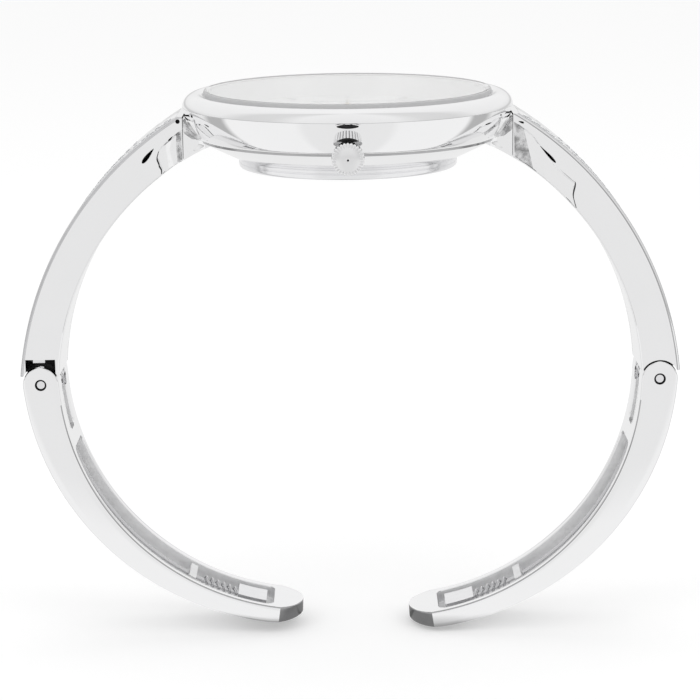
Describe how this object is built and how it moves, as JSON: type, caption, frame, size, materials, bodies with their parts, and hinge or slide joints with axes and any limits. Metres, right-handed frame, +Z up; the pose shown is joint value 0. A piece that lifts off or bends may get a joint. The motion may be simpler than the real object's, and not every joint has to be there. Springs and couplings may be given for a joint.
{
  "type": "bangle watch",
  "caption": "Round slim watch on a half-open bangle, with twisted stone-set shoulders and sprung hinged lower arms that swing out for the wrist.",
  "frame": {"origin": "centre of the case back's outer face", "axes": "+Z up through the dial, +X to twelve o'clock, -Y to the crown at three o'clock"},
  "size_m": [0.067, 0.0349, 0.0562],
  "materials": {
    "polished_case": "mirror polished plating",
    "crystal_glass": "clear, flat",
    "gasket_plastic": "matt",
    "dial_paint": "satin silver white",
    "polished_trim": "polished",
    "holder_plastic": "matt",
    "steel": "fine ground",
    "wheel_brass": "satin",
    "board": "matt",
    "copper": "enamelled wire",
    "stone_glass": "faceted"
  },
  "bodies": {
    "head": {"battery": "steel", "battery_clamp": "steel", "bezel": "polished_case", "bridge_screws": "steel", "case_back": "polished_case", "case_back_gasket": "gasket_plastic", "case_body": "polished_case", "circuit_board": "board", "coil_core": "steel", "crown_tube": "steel", "crystal": "crystal_glass", "crystal_gasket": "gasket_plastic", "dial": "dial_paint", "dial_ring": "dial_paint", "hour_markers": "polished_trim", "left_hook_pin": "steel", "left_lug_pins": "steel", "left_pave_stones": "stone_glass", "left_upper_arm": "polished_case", "main_plate": "holder_plastic", "motor_coil": "copper", "movement_holder": "holder_plastic", "quartz_can": "steel", "right_hook_pin": "steel", "right_lug_pins": "steel", "right_pave_stones": "stone_glass", "right_upper_arm": "polished_case", "stator": "steel", "timing_chip": "holder_plastic", "train_bridge": "holder_plastic"},
    "crown_pull": {"setting_slide": "steel"},
    "crown_turn": {"crown": "polished_case", "stem": "steel", "sliding_pinion": "steel", "crown_gasket": "gasket_plastic"},
    "seconds": {"seconds_wheel": "wheel_brass", "second_hand": "polished_trim"},
    "minutes": {"centre_wheel": "wheel_brass", "cannon_pinion": "wheel_brass", "minute_hand": "polished_trim"},
    "hours": {"hour_wheel": "wheel_brass", "hour_hand": "polished_trim"},
    "minute_wheel": {"minute_wheel": "wheel_brass"},
    "setting_wheel": {"setting_wheel": "wheel_brass"},
    "third_wheel": {"third_wheel": "wheel_brass"},
    "intermediate_wheel": {"intermediate_wheel": "wheel_brass"},
    "rotor": {"rotor": "steel"},
    "left_lower": {"left_lower_arm": "polished_case", "left_hinge_pin": "steel", "left_spring_stop": "steel"},
    "left_rod": {"left_pull_rod": "steel", "left_slider_block": "steel", "left_hinge_spring": "steel"},
    "right_lower": {"right_lower_arm": "polished_case", "right_hinge_pin": "steel", "right_spring_stop": "steel"},
    "right_rod": {"right_pull_rod": "steel", "right_slider_block": "steel", "right_hinge_spring": "steel"}
  },
  "joints": [
    {"name": "left_arm_hinge", "type": "hinge", "parent": "head", "child": "left_lower", "pos_m": [-0.03146, 0, -0.02172], "axis": [0, 1, 0], "range_deg": [0, 25], "stiffness_Nm_per_rad": 0.02, "springref_deg": -17.19},
    {"name": "right_arm_hinge", "type": "hinge", "parent": "head", "child": "right_lower", "pos_m": [0.03146, 0, -0.02172], "axis": [0, -1, 0], "range_deg": [0, 25], "stiffness_Nm_per_rad": 0.02, "springref_deg": -17.19},
    {"name": "left_rod_travel", "type": "hinge", "parent": "left_lower", "child": "left_rod", "pos_m": [-0.00418, 0, -0.02059], "axis": [0, 1, 0], "range_deg": [0, 1.12]},
    {"name": "right_rod_travel", "type": "hinge", "parent": "right_lower", "child": "right_rod", "pos_m": [0.00416, 0, -0.0214], "axis": [0, -1, 0], "range_deg": [0, 1.12]},
    {"name": "crown_pull", "type": "slide", "parent": "head", "child": "crown_pull", "axis": [0, -1, 0], "range_m": [0, 0.001]},
    {"name": "crown_turn", "type": "hinge", "parent": "crown_pull", "child": "crown_turn", "pos_m": [0, -0.016, 0.00298], "axis": [0, -1, 0], "continuous": true},
    {"name": "second_hand_turn", "type": "hinge", "parent": "head", "child": "seconds", "pos_m": [0, 0, 0.002], "axis": [0, 0, -1], "continuous": true},
    {"name": "minute_hand_turn", "type": "hinge", "parent": "head", "child": "minutes", "pos_m": [0, 0, 0.002], "axis": [0, 0, -1], "continuous": true},
    {"name": "hour_hand_turn", "type": "hinge", "parent": "head", "child": "hours", "pos_m": [0, 0, 0.002], "axis": [0, 0, -1], "continuous": true},
    {"name": "minute_wheel_turn", "type": "hinge", "parent": "head", "child": "minute_wheel", "pos_m": [0, -0.0026, 0.002], "axis": [0, 0, -1], "continuous": true},
    {"name": "setting_wheel_turn", "type": "hinge", "parent": "head", "child": "setting_wheel", "pos_m": [0, -0.00545, 0.002], "axis": [0, 0, -1], "continuous": true},
    {"name": "third_wheel_turn", "type": "hinge", "parent": "head", "child": "third_wheel", "pos_m": [-0.00301, -0.00109, 0.002], "axis": [0, 0, -1], "continuous": true},
    {"name": "intermediate_wheel_turn", "type": "hinge", "parent": "head", "child": "intermediate_wheel", "pos_m": [0.00175, -0.00303, 0.002], "axis": [0, 0, -1], "continuous": true},
    {"name": "rotor_turn", "type": "hinge", "parent": "head", "child": "rotor", "pos_m": [0.00401, -0.00385, 0.002], "axis": [0, 0, -1], "continuous": true}
  ],
  "couplings": [
    {"joint": "left_rod_travel", "follows": "left_arm_hinge", "ratio": 0.044911},
    {"joint": "right_rod_travel", "follows": "right_arm_hinge", "ratio": 0.044911},
    {"joint": "minute_hand_turn", "follows": "second_hand_turn", "ratio": 0.016667},
    {"joint": "hour_hand_turn", "follows": "second_hand_turn", "ratio": 0.0013889},
    {"joint": "minute_wheel_turn", "follows": "second_hand_turn", "ratio": -0.0055556},
    {"joint": "setting_wheel_turn", "follows": "second_hand_turn", "ratio": 0.012037},
    {"joint": "third_wheel_turn", "follows": "second_hand_turn", "ratio": -0.125},
    {"joint": "intermediate_wheel_turn", "follows": "second_hand_turn", "ratio": -6},
    {"joint": "rotor_turn", "follows": "second_hand_turn", "ratio": 30}
  ]
}
